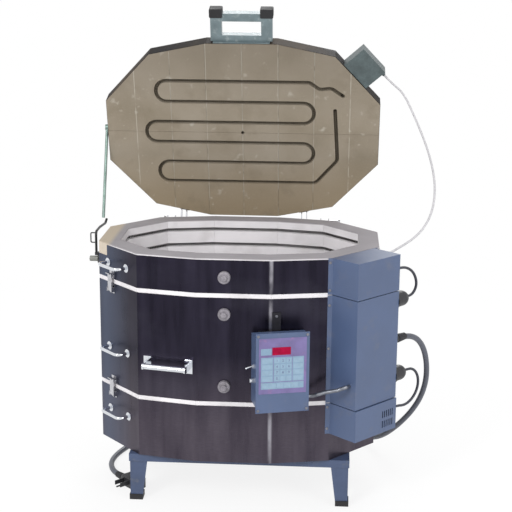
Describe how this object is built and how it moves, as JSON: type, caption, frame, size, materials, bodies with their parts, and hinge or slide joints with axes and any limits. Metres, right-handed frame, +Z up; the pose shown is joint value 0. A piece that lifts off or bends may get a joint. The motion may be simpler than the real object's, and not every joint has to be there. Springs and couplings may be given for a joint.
{
  "type": "electric kiln",
  "caption": "Oval top-loading electric kiln of stacked brick rings in steel jackets, with a hinged heated lid, wall boxes, a keypad controller and a low stand.",
  "frame": {"origin": "on the floor under the middle of the object's own box, cords left out", "axes": "+Z up, -Y towards the front with the controller, +X to the side with the electrical boxes"},
  "size_m": [1.1092, 0.7846, 1.5148],
  "materials": {
    "stand_paint": "hammered blue-grey paint",
    "rubber": "matt black rubber",
    "stainless": "bright annealed steel, heat-tinted",
    "firebrick": "soft insulating fire brick, stands in as a matt solid",
    "lid_firebrick": "fired and stained insulating brick",
    "bright_steel": "plain bright steel",
    "zinc_steel": "zinc plated",
    "heating_wire": "oxidised resistance wire",
    "box_paint": "fine hammered blue-grey paint",
    "handle_paint": "grey-green enamel",
    "prop_paint": "dark green-black paint",
    "black_paint": "black paint",
    "ceramic": "unglazed ceramic",
    "black_plastic": "black moulded plastic",
    "knob_plastic": "grey moulded plastic",
    "iron_core": "varnished laminations",
    "display_red": "red display window",
    "overlay_film": "printed plastic film",
    "circuit_board": "green circuit board",
    "chrome": "polished chrome",
    "pale_flex": "pale grey heat-proof sleeve",
    "black_cord": "black rubber sheath"
  },
  "bodies": {
    "body": {"stand_frame": "stand_paint", "leg_feet": "rubber", "floor_pan": "stainless", "floor_slab": "firebrick", "bottom_ring_bricks": "firebrick", "middle_ring_bricks": "firebrick", "top_ring_bricks": "firebrick", "bottom_jacket": "stainless", "middle_jacket": "stainless", "top_jacket": "stainless", "jacket_clamps": "bright_steel", "screws_and_bolts": "bright_steel", "bottom_element": "heating_wire", "middle_elements": "heating_wire", "top_element": "heating_wire", "bottom_box_cover": "box_paint", "middle_box_cover": "box_paint", "top_box_cover": "box_paint", "box_back_plates": "zinc_steel", "terminal_blocks": "ceramic", "power_relays": "black_plastic", "control_transformer": "iron_core", "jumper_receptacles": "black_plastic", "cord_glands": "black_plastic", "controller_box": "box_paint", "controller_panel": "box_paint", "controller_display": "display_red", "controller_keypad": "overlay_film", "controller_circuit_board": "circuit_board", "controller_bracket": "zinc_steel", "controller_side_fittings": "chrome", "controller_conduit": "zinc_steel", "thermocouple": "ceramic", "handle_grips": "chrome", "handle_brackets": "chrome", "latch_plates": "bright_steel", "hinge_brackets": "bright_steel", "hinge_rod": "bright_steel", "prop_bracket": "black_paint", "lid_lead": "pale_flex", "jumper_cord_upper": "black_cord", "jumper_cord_lower": "black_cord", "jumper_plugs": "black_plastic", "power_cord": "black_cord", "power_plug": "black_plastic"},
    "lid": {"lid_slab": "lid_firebrick", "lid_band": "stainless", "lid_element": "heating_wire", "lid_handle": "handle_paint", "lid_handle_caps": "rubber", "lid_brackets": "bright_steel", "lid_junction_box": "box_paint"},
    "prop": {"prop_rod": "prop_paint"},
    "prop_clamp_knob": {"prop_knob": "knob_plastic"},
    "plug_top": {"peephole_plug_top": "ceramic"},
    "plug_upper": {"peephole_plug_upper": "ceramic"},
    "plug_lower": {"peephole_plug_lower": "ceramic"},
    "switch_lever": {"toggle_lever": "chrome"},
    "upper_latch": {"upper_latch_lever": "bright_steel"},
    "lower_latch": {"lower_latch_lever": "bright_steel"}
  },
  "joints": [
    {"name": "lid_hinge", "type": "hinge", "parent": "body", "child": "lid", "pos_m": [-0.0067, 0.32161, 0.784], "axis": [1, 0, 0], "range_deg": [0, 74], "deforming": ["lid_lead"]},
    {"name": "prop_hinge", "type": "hinge", "parent": "lid", "child": "prop", "pos_m": [-0.4802, 0.27765, 1.10457], "axis": [1, 0, 0], "range_deg": [0, 35.85]},
    {"name": "prop_knob_turn", "type": "hinge", "parent": "body", "child": "prop_clamp_knob", "pos_m": [-0.44508, 0.03135, 0.711], "axis": [-1, 0, 0], "continuous": true},
    {"name": "plug_top_slide", "type": "slide", "parent": "body", "child": "plug_top", "axis": [0, -1, 0], "range_m": [0, 0.075]},
    {"name": "plug_upper_slide", "type": "slide", "parent": "body", "child": "plug_upper", "axis": [0, -1, 0], "range_m": [0, 0.075]},
    {"name": "plug_lower_slide", "type": "slide", "parent": "body", "child": "plug_lower", "axis": [0, -1, 0], "range_m": [0, 0.075]},
    {"name": "switch_tilt", "type": "hinge", "parent": "body", "child": "switch_lever", "pos_m": [0.05671, -0.3571, 0.49], "axis": [0.2588, -0.9659, 0], "range_deg": [-32, 0]},
    {"name": "upper_latch_swing", "type": "hinge", "parent": "body", "child": "upper_latch", "pos_m": [-0.39943, -0.16259, 0.6622], "axis": [0.6756, -0.7373, 0], "range_deg": [0, 110]},
    {"name": "lower_latch_swing", "type": "hinge", "parent": "body", "child": "lower_latch", "pos_m": [-0.39943, -0.16259, 0.3193], "axis": [0.6756, -0.7373, 0], "range_deg": [0, 110]}
  ],
  "couplings": [
    {"joint": "prop_hinge", "follows": "lid_hinge", "ratio": 0.4843}
  ]
}
